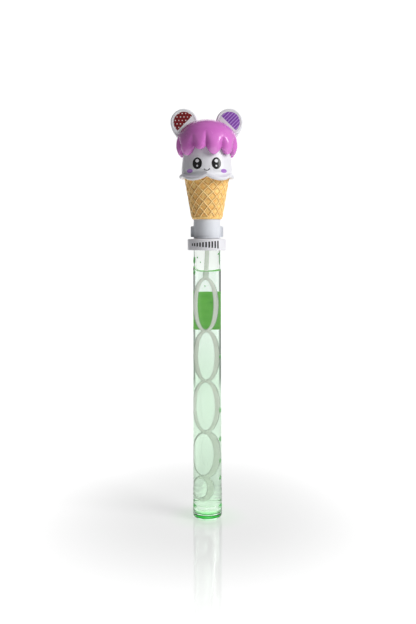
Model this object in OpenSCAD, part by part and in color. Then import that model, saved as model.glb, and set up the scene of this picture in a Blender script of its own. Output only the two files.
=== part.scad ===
// Bubble wand: a clear tube of bubble solution under a screw collar, a stopper that
// carries a wand of oval loops, and an ice cream cone with two round ears on top.
// Millimetres, +Z up. The origin is the middle of the tube's base, the face looks along -Y.

/* [Tube] */
// Outer radius of the tube
tube_r = 12.8; // [12.8:0.1:13.1]
// Radius of the bore
bore_r = 11.3; // [11.2:0.05:11.5]
// Height of the tube up to its lip
tube_h = 247.4; // [230:0.2:260]
// Outer radius of the foot
foot_r = 13.25; // [12.9:0.05:13.6]
// Height of the wider foot
foot_h = 23; // [15:1:30]
// Radius of the rounded heel under the foot
heel_r = 3.5; // [2:0.25:4.5]
// Thickness of the base
base_t = 5.5; // [4:0.25:6.5]
// Height of the bubble solution in the tube
fill_h = 222.6; // [216:0.2:226]

/* [Thread] */
// Rise of the thread in one turn
pitch = 3; // [2.8:0.1:3.2]
// Height of each ridge above its wall
ridge_h = 0.9; // [0.7:0.05:0.9]
// Width of a ridge at its wall
ridge_w = 1.3; // [1:0.1:1.4]

/* [Collar] */
// Outer radius of the screw collar
collar_r = 17.5; // [17:0.1:19]
// Height of the screw collar
collar_h = 10.4; // [10.2:0.1:10.6]
// Number of ribs between the collar's two skirts
collar_ribs = 8; // [4:1:12]

/* [Stopper] */
// Radius of the neck that shows between collar and cone
neck_r = 12.1; // [11.8:0.05:12.5]
// Height of the neck
neck_h = 17.1; // [15:0.1:20]
// Distance from the axis to a grip wing's edge
wing_r = 14.7; // [13.5:0.1:16]
// Height of a grip wing
wing_h = 9.8; // [7:0.1:12]

/* [Wand] */
// Thickness of the wand
wand_t = 2.6; // [2.2:0.1:2.8]
// Width of the wand's stem
stem_w = 4; // [3.4:0.1:4.4]
// Width of the band beside a loop
band_w = 4.1; // [3.4:0.1:4.3]
// Height of the band over and under a loop
band_end_h = 2.9; // [2.4:0.1:3]

/* [Cone] */
// Radius of the cone above its bottom chamfer
cone_low_r = 13.9; // [13.4:0.1:14.5]
// Radius of the cone at its rim
cone_top_r = 20.2; // [19.6:0.05:20.4]
// Height of the cone that shows, with the part inside the skirt
cone_h = 38.5; // [36:0.5:42]

/* [Head] */
// Radius of the head under the icing
head_r = 21.5; // [21.3:0.1:22]
// Radius at the lip of the wavy skirt
skirt_r = 24.8; // [24:0.1:26]
// Height of the head from the skirt's notches to its crown
head_h = 36.4; // [35:0.2:38]

/* [Icing] */
// Radius of the icing at its widest
icing_r = 27.5; // [27:0.1:29]
// Height of the icing's dome above its widest level
dome_h = 24; // [23:0.2:26]
// Wall thickness of the icing
icing_t = 2; // [1.6:0.1:2.2]

/* [Ears] */
// Radius of an ear
ear_r = 12.1; // [11:0.1:12.6]
// Distance from the axis to the middle of an ear
ear_x = 20.4; // [19:0.1:21.5]
// Thickness of an ear from front to back
ear_t = 8; // [6:0.2:9]

/* [Hidden] */
$fn = 96;

// Gaps: between pieces that move, in a running fit, and in a fixed joint
move_gap = 0.3;
run_gap = 0.05;
joint_gap = 0.05;
// A piece sunk this far into the wall that it grows from joins it without a seam
sink = 0.15;

// Levels of the stack, from the base up
collar_z = tube_h - 7.6;
collar_top = collar_z + collar_h;
neck_z = collar_top + move_gap;
cone_z = neck_z + neck_h;
rim_z = cone_z + cone_h;
notch_z = rim_z - 1.4;
crown_z = notch_z + head_h;
icing_z = notch_z + 28.9;
icing_top = icing_z + dome_h;
ear_z = icing_top - 2.8;

// The tube's neck inside the collar, and the collar's skirts and web
tube_neck_r = tube_r - 0.6;
lip_edge = 0.3;
collar_bore_r = tube_neck_r + ridge_h + 0.35;
inner_skirt_r = collar_bore_r + 1.4;
outer_skirt_t = 1.5;
web_t = 1.3;
web_z = collar_top - web_t;
web_hole_r = bore_r + 0.45;
edge_r = 1;
rib_t = 1;

// The thread: one turn on the tube, one on the collar half a pitch lower
ridge_crest_w = 0.6;
ridge_steps = 36;
ridge_run_in = 3;
tube_thread_z = collar_z + 3.4;
collar_thread_z = tube_thread_z - pitch / 2;

// The washer between the tube's lip and the collar's web
washer_in_r = web_hole_r;
washer_out_r = collar_bore_r - 0.35;
washer_z = tube_h + move_gap;
washer_t = web_z - move_gap - washer_z;

// The stopper's plug in the bore, with the groove of the seal ring
plug_r = bore_r - 0.4;
plug_z = collar_z + 0.5;
plug_in_r = 8;
plug_chamfer = 0.6;
seal_wire_r = 0.9;
seal_mid_r = bore_r - run_gap - seal_wire_r;
seal_z = collar_z + 4.8;
groove_r = seal_mid_r - seal_wire_r - 0.1;
groove_half_h = seal_wire_r + move_gap;
neck_wall = 1.6;
neck_step_z = neck_z + 2;
spigot_r = 6;
spigot_h = 6.4;
wing_z = neck_z + 1.3;
wing_t = 1.8;
wing_corner = 1;

// The holder that closes the plug and grips the wand's stem
holder_r = plug_in_r - joint_gap;
holder_t = 2.7;
holder_boss_r = 4.2;
holder_top = plug_z + 9;
stem_top = holder_top - 0.6;

// Loops of the wand from the top down: top and bottom of the hole, half its width, middle
loop_tops = [213.1, 166.2, 121.1, 75.4, 35.2];
loop_ends = [169.1, 124.2, 78.8, 38.4, 17.8];
loop_half_widths = [5.2, 5.4, 6.1, 6.8, 4.6];
loop_middles = [-1.1, -0.6, -1.2, -2.8, -5];
// How much wider each loop's band is on the right
loop_extras = [0, 0, 0.2, 1.5, 1.1];
loop_points = 48;
// Farthest that the wand's bands reach from the axis, inside the bore
wand_reach = bore_r - 0.5;
// The stem leans from the axis to the first loop's middle
stem_foot_z = loop_tops[0] + band_end_h / 2;

// The solution's slot where the wand stands
slot_half_t = 2.4;
slot_floor_z = 12.5;
liquid_gap = 0.02;

// The label behind the tube
label_t = 0.1;
label_z = 167.7;
label_h = 34.6;
label_angle = 150;

// The cone's wall, floor and socket, and the spigot that goes up into the head
cone_wall = 1.7;
cone_floor = 2.2;
cone_foot_r = 12.6;
cone_chamfer_h = 2;
socket_r = spigot_r + joint_gap;
socket_wall = 1.8;
cone_spigot_r = 17.9;
cone_spigot_h = 8;

// The head's shell: dips of its six scallops below the notches, from the front round to the left
head_wall = 1.6;
scallop_dips = [3.4, 0.6, 3.2, 3.2, 0.6, 3.4];
scallop_angle = 360 / len(scallop_dips);
head_turns = 72;
head_dome_h = 8;
head_seat_r = cone_spigot_r + joint_gap;
skirt_in_r = cone_top_r + 0.6;

// The icing: twelve drips, the one left of the middle shorter than the rest
drips = 12;
drip_angle = 360 / drips;
drip_h = 9.9;
short_drip = 11;
short_drip_h = 5.3;
drip_notch_h = 3.1;
drip_power = 2.3;
drip_tip_draw_in = 3.2;
crease_depth = 2.1;
crease_top_h = 13;
dome_power = 2.15;
icing_turns = 96;
icing_seat_r = head_r + 0.1;

// The ears: rounded rims, a recess for the printed inlay and a root inside the icing
ear_edge_r = 1.6;
inlay_r = 10;
inlay_t = 0.8;
root_t = 6;
root_points = [
    [0, 0], [ear_r - 0.2, -2.2], [ear_r - 1.1, -6], [ear_r - 3.1, -9.8], [ear_r - 6.9, -15], [-6, -13]
];

// Points of an arc about a centre in a profile's plane
function arc(middle, radius, from, to, steps) = [
    for (i = [0:steps]) let (a = from + (to - from) * i / steps)
        middle + radius * [cos(a), sin(a)]
];

// A helical ridge: its section's four corners at one step, drawn in at both ends
function ridge_swell(step) = min(1, step / ridge_run_in, (ridge_steps - step) / ridge_run_in);
function ridge_section(wall_r, side, z0, step) = let (
        a = 360 * step / ridge_steps,
        z = z0 + pitch * step / ridge_steps,
        root = wall_r - side * sink,
        crest = wall_r + side * ridge_h * max(0.1, ridge_swell(step)),
        half_w = side * ridge_w / 2,
        half_crest = side * ridge_crest_w / 2
    ) [
        for (p = [[root, -half_w], [root, half_w], [crest, half_crest], [crest, -half_crest]])
            [p[0] * cos(a), p[0] * sin(a), z + p[1]]
    ];
module ridge(wall_r, side, z0) {
    corners = 4;
    last = ridge_steps * corners;
    sides = [
        for (step = [0:ridge_steps - 1], c = [0:corners - 1]) let (
                here = step * corners,
                next = here + corners,
                d = (c + 1) % corners
            ) each [[here + c, next + c, next + d], [here + c, next + d, here + d]]
    ];
    ends = [[0, 1, 2], [0, 2, 3], [last, last + 2, last + 1], [last, last + 3, last + 2]];
    polyhedron(
        [for (step = [0:ridge_steps]) each ridge_section(wall_r, side, z0, step)],
        concat(sides, ends)
    );
}

// A closed shell from profiles that start on the axis outside, run round the wall and end on
// the axis inside. The profiles lie at even angles from the front round to the right.
module shell(profiles) {
    turns = len(profiles);
    steps = len(profiles[0]) - 2;
    points = concat(
        [[0, 0, profiles[0][0][1]], [0, 0, profiles[0][steps + 1][1]]],
        [
            for (i = [0:turns - 1], j = [1:steps]) let (a = 360 * i / turns, p = profiles[i][j])
                [p[0] * sin(a), -p[0] * cos(a), p[1]]
        ]
    );
    walls = [
        for (i = [0:turns - 1], j = [0:steps - 2]) let (
                here = 2 + i * steps + j,
                next = 2 + ((i + 1) % turns) * steps + j
            ) each [[here, next, next + 1], [here, next + 1, here + 1]]
    ];
    poles = [
        for (i = [0:turns - 1]) let (
                here = 2 + i * steps,
                next = 2 + ((i + 1) % turns) * steps,
                last = steps - 1
            ) each [[0, next, here], [here + last, next + last, 1]]
    ];
    polyhedron(points, concat(walls, poles));
}

module tube() {
    profile = concat(
        [[0, 0]],
        arc([foot_r - heel_r, heel_r], heel_r, -90, 0, 8),
        [
            [foot_r, foot_h], [tube_r, foot_h + 4], [tube_r, collar_z - 1.4],
            [tube_neck_r, collar_z - 0.6], [tube_neck_r, tube_h - lip_edge],
            [tube_neck_r - lip_edge, tube_h], [bore_r, tube_h]
        ],
        arc([bore_r - heel_r, base_t + heel_r], heel_r, 0, -90, 8),
        [[0, base_t]]
    );
    color([0.72, 0.93, 0.78, 0.4])
        union() {
            rotate_extrude() polygon(profile);
            ridge(tube_neck_r, 1, tube_thread_z);
        }
}

module back_label() {
    color("limegreen")
        translate([0, 0, label_z])
            rotate([0, 0, 90 - label_angle / 2])
                rotate_extrude(angle = label_angle)
                    translate([tube_r + joint_gap, 0]) square([label_t, label_h]);
}

module bubble_solution() {
    r = bore_r - liquid_gap;
    floor_z = base_t + liquid_gap;
    profile = concat(
        [[0, fill_h], [r, fill_h]],
        arc([r - heel_r, floor_z + heel_r], heel_r, 0, -90, 8),
        [[0, floor_z]]
    );
    color([0.6, 0.95, 0.7, 0.5])
        difference() {
            rotate_extrude() polygon(profile);
            translate([-tube_r, -slot_half_t, slot_floor_z])
                cube([2 * tube_r, 2 * slot_half_t, fill_h]);
        }
}

module collar_washer() {
    color("whitesmoke")
        translate([0, 0, washer_z])
            difference() {
                cylinder(r = washer_out_r, h = washer_t);
                translate([0, 0, -1]) cylinder(r = washer_in_r, h = washer_t + 2);
            }
}

module screw_collar() {
    outer = collar_r - outer_skirt_t;
    profile = concat(
        [[collar_bore_r, collar_z], [inner_skirt_r, collar_z], [inner_skirt_r, web_z]],
        [[outer, web_z], [outer, collar_z]],
        arc([collar_r - edge_r, collar_z + edge_r], edge_r, -90, 0, 4),
        arc([collar_r - edge_r, collar_top - edge_r], edge_r, 0, 90, 4),
        [[web_hole_r, collar_top], [web_hole_r, web_z], [collar_bore_r, web_z]]
    );
    color("white")
        union() {
            rotate_extrude() polygon(profile);
            ridge(collar_bore_r, -1, collar_thread_z);
            for (i = [0:collar_ribs - 1])
                rotate([0, 0, 360 * (i + 0.5) / collar_ribs])
                    translate([inner_skirt_r - sink, -rib_t / 2, collar_z + 1.2])
                        cube([outer - inner_skirt_r + 2 * sink, rib_t, web_z - collar_z - 1]);
        }
}

module seal_ring() {
    color("gainsboro")
        translate([0, 0, seal_z])
            rotate_extrude()
                translate([seal_mid_r, 0]) circle(r = seal_wire_r, $fn = 32);
}

module grip_wing() {
    root_x = neck_r - neck_wall / 2;
    corner_x = wing_r - wing_corner;
    translate([0, wing_t / 2, wing_z])
        rotate([90, 0, 0])
            linear_extrude(wing_t) polygon(concat(
                [[root_x, wing_h], [root_x, 0]],
                arc([corner_x, wing_corner], wing_corner, -90, 0, 4),
                arc([corner_x, wing_h - wing_corner], wing_corner, 0, 90, 4)
            ));
}

module stopper() {
    profile = [
        [plug_in_r, plug_z], [plug_r - plug_chamfer, plug_z], [plug_r, plug_z + plug_chamfer],
        [plug_r, seal_z - groove_half_h], [groove_r, seal_z - groove_half_h],
        [groove_r, seal_z + groove_half_h], [plug_r, seal_z + groove_half_h],
        [plug_r, neck_z], [neck_r, neck_z], [neck_r, cone_z], [spigot_r, cone_z],
        [spigot_r, cone_z + spigot_h], [0, cone_z + spigot_h], [0, cone_z - neck_wall],
        [neck_r - neck_wall, cone_z - neck_wall], [neck_r - neck_wall, neck_step_z],
        [plug_in_r, neck_step_z]
    ];
    color("gainsboro")
        union() {
            rotate_extrude() polygon(profile);
            for (side = [0, 180]) rotate([0, 0, side]) grip_wing();
        }
}

module wand_holder() {
    color("whitesmoke")
        difference() {
            translate([0, 0, plug_z])
                union() {
                    cylinder(r = holder_r, h = holder_t);
                    cylinder(r = holder_boss_r, h = holder_top - plug_z);
                }
            translate([-stem_w / 2 - joint_gap, -wand_t / 2 - joint_gap, plug_z - 1])
                cube([stem_w + 2 * joint_gap, wand_t + 2 * joint_gap, holder_top]);
        }
}

// An oval between a left and a right side, and between a bottom and a top
module oval(left, right, low, high) {
    polygon([
        for (n = [0:loop_points - 1]) let (a = 360 * n / loop_points)
            [(left + right + (right - left) * cos(a)) / 2, (low + high + (high - low) * sin(a)) / 2]
    ]);
}
module loop_hole(i) {
    oval(
        loop_middles[i] - loop_half_widths[i], loop_middles[i] + loop_half_widths[i],
        loop_ends[i], loop_tops[i]
    );
}
module loop_band(i) {
    reach = loop_half_widths[i] + band_w;
    right = loop_middles[i] + reach + loop_extras[i];
    oval(
        max(loop_middles[i] - reach, -wand_reach), min(right, wand_reach),
        loop_ends[i] - band_end_h, loop_tops[i] + band_end_h
    );
}

module wand() {
    half = stem_w / 2;
    color([0.93, 0.95, 0.92])
        translate([0, wand_t / 2, 0])
            rotate([90, 0, 0])
                linear_extrude(wand_t)
                    difference() {
                        union() {
                            for (i = [0:len(loop_tops) - 1]) loop_band(i);
                            polygon([
                                [-half, stem_top], [-half, plug_z - 4],
                                [loop_middles[0] - half, stem_foot_z],
                                [loop_middles[0] + half, stem_foot_z],
                                [half, plug_z - 4], [half, stem_top]
                            ]);
                        }
                        for (i = [0:len(loop_tops) - 1]) loop_hole(i);
                    }
}

module waffle_cone() {
    slope = (cone_top_r - cone_low_r) / (cone_h - cone_chamfer_h);
    floor_top = cone_z + cone_floor;
    profile = [
        [socket_r, cone_z], [cone_foot_r, cone_z], [cone_low_r, cone_z + cone_chamfer_h],
        [cone_top_r, rim_z], [cone_spigot_r, rim_z], [cone_spigot_r, rim_z + cone_spigot_h],
        [cone_spigot_r - cone_wall, rim_z + cone_spigot_h], [cone_spigot_r - cone_wall, rim_z - 4],
        [cone_low_r - cone_wall + slope * cone_floor, floor_top],
        [socket_r + socket_wall, floor_top], [socket_r + socket_wall, cone_z + spigot_h + 1],
        [socket_r, cone_z + spigot_h + 1]
    ];
    color([0.9, 0.68, 0.35]) rotate_extrude() polygon(profile);
}

// How far the head's skirt dips at an angle from the front, and one profile of the head
function scallop(a) = let (
        i = floor(a / scallop_angle),
        off = 2 * abs(a / scallop_angle - i - 0.5)
    ) scallop_dips[i] * (1 - pow(off, 2));
function head_profile(a) = let (
        dip = scallop(a),
        seat_z = rim_z + 0.1,
        top = crown_z - head_dome_h,
        inner_r = head_r - head_wall
    ) concat(
        [[0, crown_z]],
        [for (t = [75:-15:0]) [head_r * cos(t), top + head_dome_h * sin(t)]],
        [
            [head_r, notch_z + 21], [head_r + 0.7, notch_z + 13.6], [head_r + 1.6, notch_z + 7.3 - dip * 0.3],
            [skirt_r - 1.2, notch_z + 5 - dip * 0.7], [skirt_r - 0.6, notch_z + 3.6 - dip],
            [skirt_r, notch_z + 2.2 - dip], [skirt_r + 0.1, notch_z + 1.4 - dip],
            [skirt_r - 0.3, notch_z + 0.5 - dip], [skirt_r - 1.3, notch_z - dip],
            [skirt_r - 2.4, notch_z + 0.5 - dip], [skirt_in_r, seat_z],
            [head_seat_r, seat_z], [head_seat_r, seat_z + cone_spigot_h],
            [inner_r, seat_z + cone_spigot_h + 2], [inner_r, top]
        ],
        [for (t = [25:25:75]) [inner_r * cos(t), top + (head_dome_h - head_wall) * sin(t)]],
        [[0, crown_z - head_wall]]
    );

module ice_cream_head() {
    color("white") shell([for (i = [0:head_turns - 1]) head_profile(360 * i / head_turns)]);
}

// Where an angle lies in its drip, from 0 at the middle to 1 at a crease, and the drip's height
function drip_side(a) = 2 * abs(a / drip_angle - floor(a / drip_angle) - 0.5);
function drip_reach(a) = floor(a / drip_angle) == short_drip ? short_drip_h : drip_h;
function drip_end(a) = drip_reach(a) + (drip_notch_h - drip_reach(a)) * pow(drip_side(a), drip_power);
// Radius of the icing at a height from its widest level, at an angle from the front
function dome_radius(h) = h > 0
    ? icing_r * pow(max(0, 1 - pow(h / dome_h, dome_power)), 1 / dome_power)
    : icing_r - drip_tip_draw_in * pow(h / drip_h, 2);
function crease(a, h) = crease_depth * pow(drip_side(a), 2) * min(1, max(0, 1 - h / crease_top_h));
function icing_radius(a, h) = dome_radius(h) - crease(a, h);
function icing_profile(a) = let (
        end_h = -drip_end(a),
        edge = icing_radius(a, end_h)
    ) concat(
        [[0, icing_top]],
        [
            for (t = [78:-13:0]) let (h = dome_h * pow(sin(t), 2 / dome_power))
                [icing_radius(a, h), icing_z + h]
        ],
        [for (s = [0.35, 0.7, 1]) [icing_radius(a, end_h * s), icing_z + end_h * s]],
        [[edge - 1, icing_z + end_h - 0.7], [icing_seat_r + 0.8, icing_z + end_h - 0.7]],
        [[icing_seat_r, icing_z + end_h], [icing_seat_r, icing_z + 1.5]],
        [
            for (t = [13:13:78]) let (h = dome_h * pow(sin(t), 2 / dome_power))
                [icing_radius(a, h) - icing_t, icing_z + h * (1 - icing_t / dome_h)]
        ],
        [[0, icing_top - icing_t]]
    );

module icing() {
    color("orchid")
        difference() {
            shell([for (i = [0:icing_turns - 1]) icing_profile(360 * i / icing_turns)]);
            for (side = [-1, 1]) ear_body(side, joint_gap);
        }
}

// An ear's disc with rounded edges, and the outline of its root, both grown by a margin
module ear_disc(margin) {
    r = ear_r + margin;
    half = ear_t / 2 + margin;
    rotate([90, 0, 0])
        rotate_extrude() polygon(concat(
            [[0, -half]],
            arc([r - ear_edge_r, -half + ear_edge_r], ear_edge_r, -90, 0, 5),
            arc([r - ear_edge_r, half - ear_edge_r], ear_edge_r, 0, 90, 5),
            [[0, half]]
        ));
}
module root_outline(margin) {
    if (margin > 0) offset(delta = margin) polygon(root_points);
    else polygon(root_points);
}
module ear_body(side, margin) {
    translate([side * ear_x, 0, ear_z])
        mirror([side < 0 ? 1 : 0, 0, 0])
            union() {
                ear_disc(margin);
                translate([0, root_t / 2 + margin, 0])
                    rotate([90, 0, 0])
                        linear_extrude(root_t + 2 * margin) root_outline(margin);
            }
}

module ear(side) {
    color("white")
        difference() {
            ear_body(side, 0);
            translate([side * ear_x, inlay_t - ear_t / 2, ear_z])
                rotate([90, 0, 0])
                    cylinder(r = inlay_r + joint_gap, h = ear_t);
        }
}

module left_ear() { ear(-1); }

module right_ear() { ear(1); }

module ear_inlay(side, shade) {
    color(shade)
        translate([side * ear_x, inlay_t - ear_t / 2, ear_z])
            rotate([90, 0, 0])
                cylinder(r = inlay_r, h = inlay_t);
}

module left_ear_inlay() { ear_inlay(-1, "darkred"); }

module right_ear_inlay() { ear_inlay(1, "mediumpurple"); }

tube();
back_label();
bubble_solution();
collar_washer();
screw_collar();
seal_ring();
stopper();
wand_holder();
wand();
waffle_cone();
ice_cream_head();
icing();
left_ear();
right_ear();
left_ear_inlay();
right_ear_inlay();
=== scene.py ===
"""Bubble wand: the looks of a clear tube of solution with an ice cream figure on its stopper."""
import math

import bmesh
import bpy
from mathutils import Matrix, Vector


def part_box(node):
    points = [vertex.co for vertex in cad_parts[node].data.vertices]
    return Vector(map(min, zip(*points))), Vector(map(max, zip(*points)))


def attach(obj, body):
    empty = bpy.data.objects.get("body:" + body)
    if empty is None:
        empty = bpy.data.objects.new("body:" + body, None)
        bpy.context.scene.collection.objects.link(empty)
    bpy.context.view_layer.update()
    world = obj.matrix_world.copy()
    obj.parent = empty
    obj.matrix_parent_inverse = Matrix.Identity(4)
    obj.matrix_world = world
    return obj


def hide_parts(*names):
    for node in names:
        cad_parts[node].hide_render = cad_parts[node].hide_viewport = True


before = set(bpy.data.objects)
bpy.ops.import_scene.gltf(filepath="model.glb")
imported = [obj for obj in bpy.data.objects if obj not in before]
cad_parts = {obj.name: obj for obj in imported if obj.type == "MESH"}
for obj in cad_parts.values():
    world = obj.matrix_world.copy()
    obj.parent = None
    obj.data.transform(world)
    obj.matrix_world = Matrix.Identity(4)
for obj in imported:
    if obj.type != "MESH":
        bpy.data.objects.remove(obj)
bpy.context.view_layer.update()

MM = 0.001
WELD = 0.002 * MM
FULL_TURN = 2 * math.pi


def span(node):
    """A node's lowest and highest corner in millimetres."""
    low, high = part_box(node)
    return low / MM, high / MM


# Sizes in millimetres, from the frame
tube_high = span("tube")[1]
collar_low, collar_high = span("screw_collar")
stopper_low, stopper_high = span("stopper")
cone_low, cone_high = span("waffle_cone")
head_high = span("ice_cream_head")[1]
icing_high = span("icing")[1]
ear_high = span("right_ear")[1]
inlay_low, inlay_high = span("right_ear_inlay")
label_low, label_high = span("back_label")
solution_low, solution_high = span("bubble_solution")
wand_high = span("wand")[1]

# The camera stands in front of the face, a little to the right of the axis, and rolled by a hair
CAMERA_PLACE = (0.9, -710, 245)
CAMERA_ROLL = 0.12
CAMERA_LENS = 45.46
CAMERA_SHIFT = -0.108
CAMERA_SENSOR = 36
CAMERA_CLIP = 0.02


def add_object(name, data):
    """A new object in the scene."""
    made = bpy.data.objects.new(name, data)
    bpy.context.scene.collection.objects.link(made)
    return made


def make_camera():
    camera = add_object("camera", bpy.data.cameras.new("camera"))
    camera.location = Vector(CAMERA_PLACE) * MM
    camera.rotation_euler = (math.pi / 2, math.radians(CAMERA_ROLL), 0)
    camera.data.lens = CAMERA_LENS
    camera.data.sensor_width = CAMERA_SENSOR
    camera.data.shift_y = CAMERA_SHIFT
    camera.data.clip_start = CAMERA_CLIP
    bpy.context.scene.camera = camera


make_camera()
bpy.context.scene.view_settings.view_transform = "Standard"


class Field:
    """A number or colour that varies over a surface. Arithmetic on it adds Math nodes."""

    def __init__(self, finish, socket):
        self.finish = finish
        self.socket = socket

    def math(self, operation, *values):
        return self.finish.node("ShaderNodeMath", {"operation": operation}, dict(enumerate(values)))

    def __add__(self, other):
        return self.math("ADD", self, other)

    __radd__ = __add__

    def __sub__(self, other):
        return self.math("SUBTRACT", self, other)

    def __rsub__(self, other):
        return self.math("SUBTRACT", other, self)

    def __mul__(self, other):
        return self.math("MULTIPLY", self, other)

    __rmul__ = __mul__

    def __truediv__(self, other):
        return self.math("DIVIDE", self, other)

    def __pow__(self, other):
        return self.math("POWER", self, other)

    def __neg__(self):
        return self * -1

    def one(self, operation):
        """A Math node with one input, such as SINE or ABSOLUTE."""
        return self.math(operation, self)

    def least(self, other):
        return self.math("MINIMUM", self, other)

    def most(self, other):
        return self.math("MAXIMUM", self, other)

    def ramp(self, low, high):
        """0 below low and 1 above high, eased between them."""
        return self.finish.node(
            "ShaderNodeMapRange",
            {"interpolation_type": "SMOOTHSTEP"},
            {"Value": self, "From Min": low, "From Max": high},
        )


def distance(across, up):
    """Length of a vector given by two fields."""
    return (across * across + up * up) ** 0.5


class Finish:
    """A material: its Principled shader, and the one method that adds its other nodes."""

    def __init__(self, name, sockets):
        self.material = bpy.data.materials.new(name)
        self.material.use_nodes = True
        self.tree = self.material.node_tree
        self.shader = self.tree.nodes["Principled BSDF"]
        for socket, value in sockets.items():
            self.feed(self.shader.inputs[socket], value)

    def feed(self, socket, value):
        if isinstance(value, Field):
            self.tree.links.new(value.socket, socket)
        else:
            socket.default_value = value

    def node(self, kind, settings, inputs, output=0):
        """Adds a node. Its settings come first, then the values or links of its sockets."""
        made = self.tree.nodes.new(kind)
        for name, value in settings.items():
            setattr(made, name, value)
        for socket, value in inputs.items():
            self.feed(made.inputs[socket], value)
        return Field(self, made.outputs[output])

    def place(self):
        """Object coordinates in millimetres, as a vector field."""
        where = self.node("ShaderNodeTexCoord", {}, {}, output=3)
        return self.node("ShaderNodeVectorMath", {"operation": "SCALE"}, {0: where, "Scale": 1 / MM})

    def axes(self):
        """The three object coordinates in millimetres."""
        where = self.place()
        return [self.node("ShaderNodeSeparateXYZ", {}, {0: where}, output=n) for n in range(3)]

    def noise(self, size, detail=2, stretch=(1, 1, 1)):
        """Even noise from 0 to 1 whose blotches are about size millimetres wide."""
        scaled = self.node("ShaderNodeMapping", {}, {"Vector": self.place(), "Scale": stretch})
        return self.node("ShaderNodeTexNoise", {}, {"Vector": scaled, "Scale": 1 / size, "Detail": detail})

    def mix(self, mask, low, high):
        """One colour where the mask is 0 and another where it is 1."""
        return self.node("ShaderNodeMix", {"data_type": "RGBA"}, {0: mask, 6: low, 7: high}, output=2)

    def attribute(self, name):
        return self.node("ShaderNodeAttribute", {"attribute_name": name}, {}, output=2)

    def bump(self, height, depth):
        """Raises the surface by a height field, depth millimetres for each unit of it."""
        normal = self.node("ShaderNodeBump", {}, {"Height": height, "Distance": depth * MM, "Strength": 1})
        self.feed(self.shader.inputs["Normal"], normal)

    def colour(self, value):
        self.feed(self.shader.inputs["Base Color"], value)

    def roughness(self, value):
        self.feed(self.shader.inputs["Roughness"], value)

    def glow(self, value):
        self.feed(self.shader.inputs["Emission Color"], value)

    def absorb(self, colour, density):
        """Tints what passes through the solid, more where it is thicker."""
        volume = self.tree.nodes.new("ShaderNodeVolumeAbsorption")
        volume.inputs["Color"].default_value = (*colour, 1)
        volume.inputs["Density"].default_value = density
        self.tree.links.new(volume.outputs[0], self.tree.nodes["Material Output"].inputs["Volume"])


def shade(red, green, blue):
    """A colour in the shader's linear scale from the 0 to 255 values that a screen shows."""
    linear = [((v / 255 + 0.055) / 1.055) ** 2.4 if v > 10 else v / 3295 for v in (red, green, blue)]
    return (*linear, 1)


def grey(level):
    """A neutral colour in the shader's linear scale."""
    return (level, level, level, 1)


# Finishes

GRAIN = 0.012


def moulded(name, colour, dark, roughness):
    """Injection-moulded plastic: slight flow marks, fine grain and uneven gloss."""
    finish = Finish(name, {"IOR": 1.5})
    flow = finish.noise(14, detail=3, stretch=(1, 1, 0.4))
    speckle = finish.noise(0.5)
    finish.colour(finish.mix(flow.ramp(0.35, 0.8) * 0.7, colour, dark))
    finish.roughness(roughness + (flow - 0.5) * 0.12)
    finish.bump(speckle + flow * 2, GRAIN)
    return finish


def make_head_finish():
    """White plastic with a plain printed face: oval eyes, a small smile and two cheeks."""
    finish = Finish("head_white", {"IOR": 1.5, "Coat Weight": 0.15, "Coat Roughness": 0.12})
    across, depth, up = finish.axes()
    flow = finish.noise(16, detail=3)
    white = finish.mix(flow.ramp(0.3, 0.8) * 0.6, shade(231, 231, 235), shade(218, 219, 226))
    front = 1 - depth.ramp(-9, -8)
    side = across.one("ABSOLUTE")
    eye = 1 - distance((side - EYE_X) / EYE_W, (up - EYE_Z) / EYE_H).ramp(0.97, 1.03)
    glint = 1 - distance(side - EYE_X, up - EYE_Z - GLINT_UP).ramp(GLINT_R - 0.1, GLINT_R + 0.1)
    low_glint = 1 - distance(side - EYE_X, up - EYE_Z + GLINT_UP).ramp(LOW_GLINT_R - 0.1, LOW_GLINT_R + 0.1)
    smile_ring = (distance(across, up - SMILE_Z) - SMILE_R).one("ABSOLUTE")
    smile = (1 - smile_ring.ramp(0.22, 0.42)) * (1 - up.ramp(SMILE_Z - 1.0, SMILE_Z - 0.8))
    cheek = distance((side - CHEEK_X) / CHEEK_W, (up - CHEEK_Z) / CHEEK_H)
    blush = 1 - cheek.ramp(0.93, 1.07)
    ink = (eye * (1 - glint) * (1 - low_glint)).most(smile) * front
    cheeks = finish.mix(blush * front, white, shade(176, 120, 208))
    finish.colour(finish.mix(ink, cheeks, shade(18, 18, 22)))
    finish.roughness(0.34 + (flow - 0.5) * 0.1 - ink * 0.12)
    finish.bump(finish.noise(0.5) + flow * 2 + ink * 1.5, GRAIN)
    return finish


def make_icing_finish():
    """Glossy pink plastic, with painted shade: deeper pink towards the creases and on the underside."""
    finish = Finish("icing_pink", {"IOR": 1.5, "Coat Weight": 1.0, "Coat Roughness": 0.05})
    flow = finish.noise(12, detail=3)
    crease = finish.attribute("crease")
    pink = finish.mix(flow.ramp(0.3, 0.8) * 0.6, shade(222, 122, 211), shade(212, 106, 201))
    # Painted shade: the crease mask darkens the pink in the creases and on the underside and inside.
    finish.colour(finish.mix(crease * 0.55, pink, shade(172, 62, 166)))
    finish.roughness(0.26 + (flow - 0.5) * 0.12)
    finish.bump(finish.noise(0.6) + flow * 3, GRAIN)
    return finish


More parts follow.
